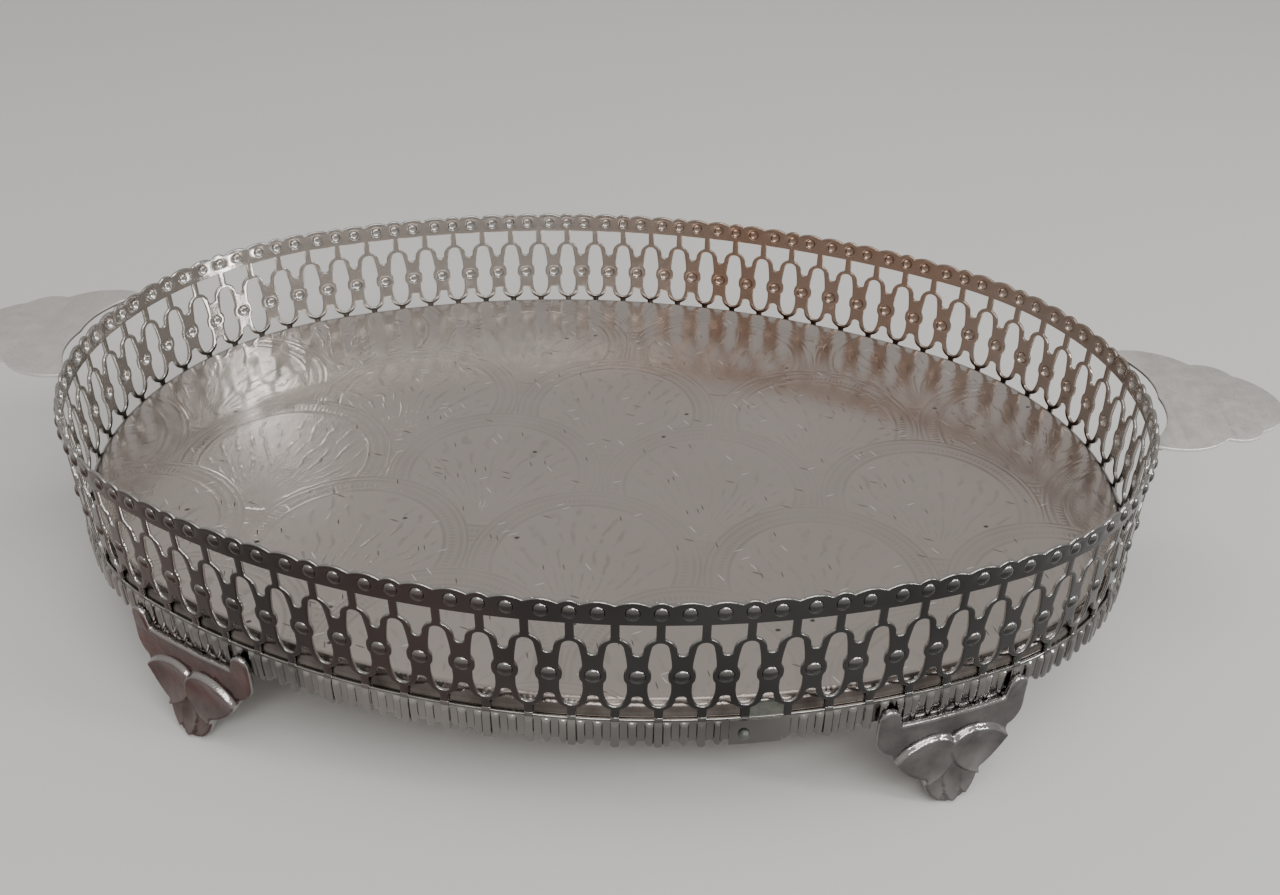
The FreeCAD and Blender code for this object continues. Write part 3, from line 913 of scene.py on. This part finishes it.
def scale_pattern(graph):
    """Overlapping round scales: the offsets from the nearest scale's middle, and the distance, in mm.

    ROWS_BELOW keeps the row's number above 0, where MODULO tells odd rows from even ones.
    """
    split = graph.node("ShaderNodeSeparateXYZ")
    graph.link(graph.place(), split.inputs[0])
    x = graph.math("MULTIPLY", split.outputs[0], 1 / MM)
    y = graph.math("MULTIPLY_ADD", split.outputs[1], 1 / MM, SCALE_SHIFT[1] + ROWS_BELOW * SCALE_ROW)
    row = graph.math("FLOOR", graph.math("DIVIDE", y, SCALE_ROW))
    near_y = graph.math("SUBTRACT", y, graph.math("MULTIPLY", row, SCALE_ROW))
    far_y = graph.math("SUBTRACT", near_y, SCALE_ROW)
    odd = graph.math("MULTIPLY", graph.math("MODULO", row, 2.0), SCALE_RADIUS)
    start = graph.math("SUBTRACT", x, SCALE_SHIFT[0] + SCALE_RADIUS)
    near_x = graph.math("WRAP", graph.math("SUBTRACT", start, odd), -SCALE_RADIUS, SCALE_RADIUS)
    far_x = graph.math("WRAP", graph.math("ADD", graph.math("SUBTRACT", start, SCALE_RADIUS), odd),
                       -SCALE_RADIUS, SCALE_RADIUS)
    near = graph.math("SQRT", graph.math("ADD", graph.math("POWER", near_x, 2.0),
                                         graph.math("POWER", near_y, 2.0)))
    inside = graph.math("LESS_THAN", near, SCALE_RADIUS)

    def pick(in_near, in_far):
        step = graph.math("SUBTRACT", in_near, in_far)
        return graph.math("MULTIPLY_ADD", step, inside, in_far)

    across = pick(near_x, far_x)
    up = pick(near_y, far_y)
    squares = graph.math("ADD", graph.math("MULTIPLY", across, across), graph.math("MULTIPLY", up, up))
    return across, up, graph.math("SQRT", squares)


def embossing(graph):
    """How high the floor's fish-scale pattern stands: borders, a dotted line and broken feathers."""
    across, up, distance = scale_pattern(graph)
    share = graph.math("DIVIDE", distance, SCALE_RADIUS)
    border = graph.ramp(share, (0.0, 0.0), (0.76, 0.0), (0.785, 1.0), (0.81, 0.15), (0.90, 0.2),
                        (0.935, 0.75), (0.96, 0.1), (0.985, 1.0), (1.0, 0.2))
    turn = graph.math("ARCTAN2", across, up)
    dots = graph.math("ABSOLUTE", graph.math("SINE", graph.math("MULTIPLY", turn, 60.0)))
    dotted = graph.math("MULTIPLY", dots, graph.ramp(share, (0.81, 0.0), (0.85, 0.7), (0.90, 0.0)))
    root = graph.math("ARCTAN2", across, graph.math("ADD", up, SCALE_RADIUS * 0.75))
    drift = graph.math("MULTIPLY", graph.noise(75, 3), 16.0)
    rays = graph.math("SINE", graph.math("ADD", graph.math("MULTIPLY", root, 46.0), drift))
    feathers = graph.math("MULTIPLY", graph.ramp(rays, (0.45, 0.0), (0.95, 1.0)),
                          graph.ramp(share, (0.70, 1.0), (0.76, 0.0)))
    broken = graph.math("MULTIPLY", feathers, graph.ramp(graph.noise(260, 2), (0.42, 0.0), (0.6, 1.0)))
    return graph.math("ADD", graph.math("ADD", border, dotted), graph.math("MULTIPLY", broken, 0.8))


# Scratches as (turn in radians, cells per metre, colour): two bright sets and two dark ones.
SCRATCHES = ((0.5, 60, (0.95, 0.94, 0.92)), (-0.9, 50, (0.95, 0.93, 0.9)),
             (1.9, 70, (0.14, 0.12, 0.11)), (-0.3, 55, (0.18, 0.15, 0.14)))


def worn_colour(graph, relief):
    """The floor's cloudy colour, darker on the pattern's lines, with scratches and dark specks."""
    cloud = graph.ramp(graph.noise(14, 4), (0.3, 0.0), (0.75, 1.0))
    colour = graph.mix(cloud, (0.66, 0.60, 0.565), (0.57, 0.515, 0.48))
    worn = graph.ramp(graph.noise(45, 3), (0.4, 0.1), (0.65, 0.4))
    colour = graph.mix(graph.math("MULTIPLY", relief, worn), colour, (0.27, 0.24, 0.22))
    for turn, scale, shade in SCRATCHES:
        colour = graph.mix(dashes(graph, turn, scale, 0.14, 0.88), colour, shade)
    return graph.mix(dashes(graph, 0.3, 110, 0.7, 0.965), colour, (0.04, 0.03, 0.03))


def shade_and_dirt_on_skirt(graph, colour):
    """Paints shade, mottled with some dirt, on what lies below the floor, the rolled shoulder and the skirt,
    but not the underside.
    """
    split = graph.node("ShaderNodeSeparateXYZ")
    graph.link(graph.place(), split.inputs[0])
    drop = graph.math("MULTIPLY", graph.math("SUBTRACT", FLOOR * MM, split.outputs[2]), 1 / MM)
    facing = graph.node("ShaderNodeSeparateXYZ")
    graph.link(graph.node("ShaderNodeNewGeometry").outputs["Normal"], facing.inputs[0])
    not_down = graph.math("GREATER_THAN", facing.outputs[2], -0.5)
    # Painted shade: the deeper below the floor, the darker, on faces that don't look down.
    skirt = graph.math("MULTIPLY", graph.ramp(drop, (0.0, 0.0), (0.22, 1.0)), not_down)
    shade_and_dirt_mottle = graph.ramp(graph.noise(120, 4), (0.35, 0.0), (0.7, 1.0))
    return graph.mix(skirt, colour, graph.mix(shade_and_dirt_mottle, (0.16, 0.14, 0.13), (0.06, 0.05, 0.045)))


def satin_plate():
    """The base's satin plate: an embossed floor with the marks of use, and a skirt darkened with painted
    shade and some dirt.
    """
    graph = Graph("satin_plate")
    relief = embossing(graph)
    normal = graph.bump(relief, 0.35, 0.0001)
    normal = graph.bump(graph.noise(16, 2), 0.12, 0.0008, normal)
    normal = graph.bump(graph.noise(900, 2, (1, 0.15, 1)), 0.15, 0.0001, normal)
    colour = shade_and_dirt_on_skirt(graph, worn_colour(graph, relief))
    roughness = graph.ramp(graph.noise(60, 5), (0.3, 0.15), (0.75, 0.22))
    return graph.finish(colour, roughness, normal)


def dashes(graph, turn, scale, shape, rare):
    """Sparse short marks, one to a cell: shape is width over length, rare is the share left empty."""
    shift = graph.node("ShaderNodeMapping", vector_type="TEXTURE")
    shift.inputs["Rotation"].default_value = (0, 0, turn)
    shift.inputs["Scale"].default_value = (1, shape, 1)
    graph.link(graph.place(), shift.inputs["Vector"])
    cells = graph.node("ShaderNodeTexVoronoi", voronoi_dimensions="2D")
    cells.inputs["Scale"].default_value = scale
    graph.link(shift.outputs[0], cells.inputs["Vector"])
    chance = graph.node("ShaderNodeSeparateColor")
    graph.link(cells.outputs["Color"], chance.inputs[0])
    here = graph.math("GREATER_THAN", chance.outputs[0], rare)
    mark = graph.ramp(cells.outputs["Distance"], (0.05, 0.8), (0.09, 0.0))
    return graph.math("MULTIPLY", mark, here)


def plain_plate():
    """The handles' soft bright plate, finely speckled."""
    graph = Graph("plain_plate")
    cloud = graph.ramp(graph.noise(40, 4), (0.3, 0.0), (0.75, 1.0))
    colour = graph.mix(cloud, (0.76, 0.735, 0.705), (0.72, 0.70, 0.67))
    specks = graph.ramp(graph.noise(1500, 2), (0.62, 0.0), (0.72, 1.0))
    colour = graph.mix(graph.math("MULTIPLY", specks, 0.5), colour, (0.35, 0.33, 0.31))
    roughness = graph.ramp(graph.noise(300, 4), (0.3, 0.46), (0.75, 0.58))
    normal = graph.bump(graph.noise(1200, 3), 0.25, 0.0001)
    return graph.finish(colour, roughness, normal)


def solder_skin():
    graph = Graph("solder")
    cloud = graph.ramp(graph.noise(500, 4), (0.3, 0.0), (0.75, 1.0))
    colour = graph.mix(cloud, (0.19, 0.195, 0.175), (0.10, 0.105, 0.095))
    normal = graph.bump(graph.noise(900, 4), 0.6, 0.0004)
    return graph.finish(colour, 0.55, normal)


def studio_floor():
    graph = Graph("studio_floor")
    cloud = graph.noise(3, 3)
    colour = graph.mix(cloud, (0.56, 0.56, 0.545), (0.60, 0.60, 0.585))
    return graph.finish(colour, 0.75, None, 0.0)


def paint(piece, material):
    piece.data.materials.clear()
    piece.data.materials.append(material)


# ---------------------------------------------------------------- stage

def make_floor(material):
    made = bmesh.new()
    bmesh.ops.create_grid(made, x_segments=8, y_segments=8, size=6.0)
    mesh = bpy.data.meshes.new("studio_floor")
    made.to_mesh(mesh)
    made.free()
    ground = bpy.data.objects.new("studio_floor", mesh)
    SCENE.collection.objects.link(ground)
    paint(ground, material)


def make_camera():
    """The main view: from in front and above, a little right of the tray's middle."""
    place = Vector((34.3, -267.2, 228.1)) * MM
    heading, drop, roll = math.radians(4.84), math.radians(33.62), math.radians(1.05)
    forward = Vector((-math.sin(heading) * math.cos(drop), math.cos(heading) * math.cos(drop),
                      -math.sin(drop)))
    level = forward.cross(Vector((0, 0, 1))).normalized()
    upward = level.cross(forward)
    right = level * math.cos(roll) + upward * math.sin(roll)
    up = upward * math.cos(roll) - level * math.sin(roll)
    lens = bpy.data.cameras.new("camera")
    lens.sensor_width = 36.0
    lens.lens = 33.75
    lens.shift_x = -0.0048
    lens.shift_y = -0.0278
    lens.clip_start = 0.01
    camera = bpy.data.objects.new("camera", lens)
    turn = Matrix((right, up, -forward)).transposed().to_4x4()
    camera.matrix_world = Matrix.Translation(place) @ turn
    SCENE.collection.objects.link(camera)
    SCENE.camera = camera


def area_light(name, place, target, size, power, colour):
    data = bpy.data.lights.new(name, "AREA")
    data.shape = "RECTANGLE"
    data.size, data.size_y = size
    data.energy = power
    data.color = colour
    lamp = bpy.data.objects.new(name, data)
    away = Vector(place) - Vector(target)
    lamp.matrix_world = Matrix.Translation(place) @ away.to_track_quat("Z", "Y").to_matrix().to_4x4()
    SCENE.collection.objects.link(lamp)


def make_lights():
    """Lamps for the highlights: a small one behind for the bright spot on the floor, and large soft ones."""
    centre = (0, 0, 0.04)
    area_light("window", (-0.547, 0.947, 0.656), centre, (0.04, 0.04), 0.06, (1.0, 0.98, 0.95))
    area_light("front_strip", (0.35, -0.75, 1.0), centre, (1.2, 0.25), 8, (1.0, 0.99, 0.97))
    area_light("right", (1.0, -0.25, 0.55), centre, (0.12, 0.5), 4, (0.93, 0.96, 1.0))
    area_light("top", (0.1, -0.2, 1.4), centre, (0.9, 0.9), 6, (1.0, 0.98, 0.96))


def make_room():
    """Light from all round, brightest from the camera's side."""
    world = bpy.data.worlds.new("room")
    world.use_nodes = True
    tree = world.node_tree
    split = tree.nodes.new("ShaderNodeSeparateXYZ")
    tree.links.new(tree.nodes.new("ShaderNodeTexCoord").outputs["Generated"], split.inputs[0])
    sides = tree.nodes.new("ShaderNodeValToRGB")
    camera_side, far_side = sides.color_ramp.elements
    far_side.position, far_side.color = 0.85, (0.60, 0.585, 0.57, 1)
    camera_side.position, camera_side.color = 0.15, (0.95, 0.92, 0.89, 1)
    to_share = tree.nodes.new("ShaderNodeMath")
    to_share.operation = "MULTIPLY_ADD"
    to_share.inputs[1].default_value = 0.5
    to_share.inputs[2].default_value = 0.5
    tree.links.new(split.outputs[1], to_share.inputs[0])
    tree.links.new(to_share.outputs[0], sides.inputs[0])
    tree.links.new(sides.outputs[0], tree.nodes["Background"].inputs[0])
    tree.nodes["Background"].inputs[1].default_value = 0.75
    SCENE.world = world


# ---------------------------------------------------------------- the whole tray

polished = polished_plate()
plain = plain_plate()
solder = solder_skin()
cast = cast_plate()

paint(make_gallery(), polished)
paint(make_base(), satin_plate())
paint(make_handle("handle_plate_right", "handle_right", 0.0), plain)
paint(make_handle("handle_plate_left", "handle_left", math.pi), plain)
for foot in make_feet():
    paint(foot, cast)
paint(make_handle_solder(), solder)
paint(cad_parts["joint_plate"], polished)
paint(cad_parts["joint_solder"], solder)
make_floor(studio_floor())
make_camera()
make_lights()
make_room()
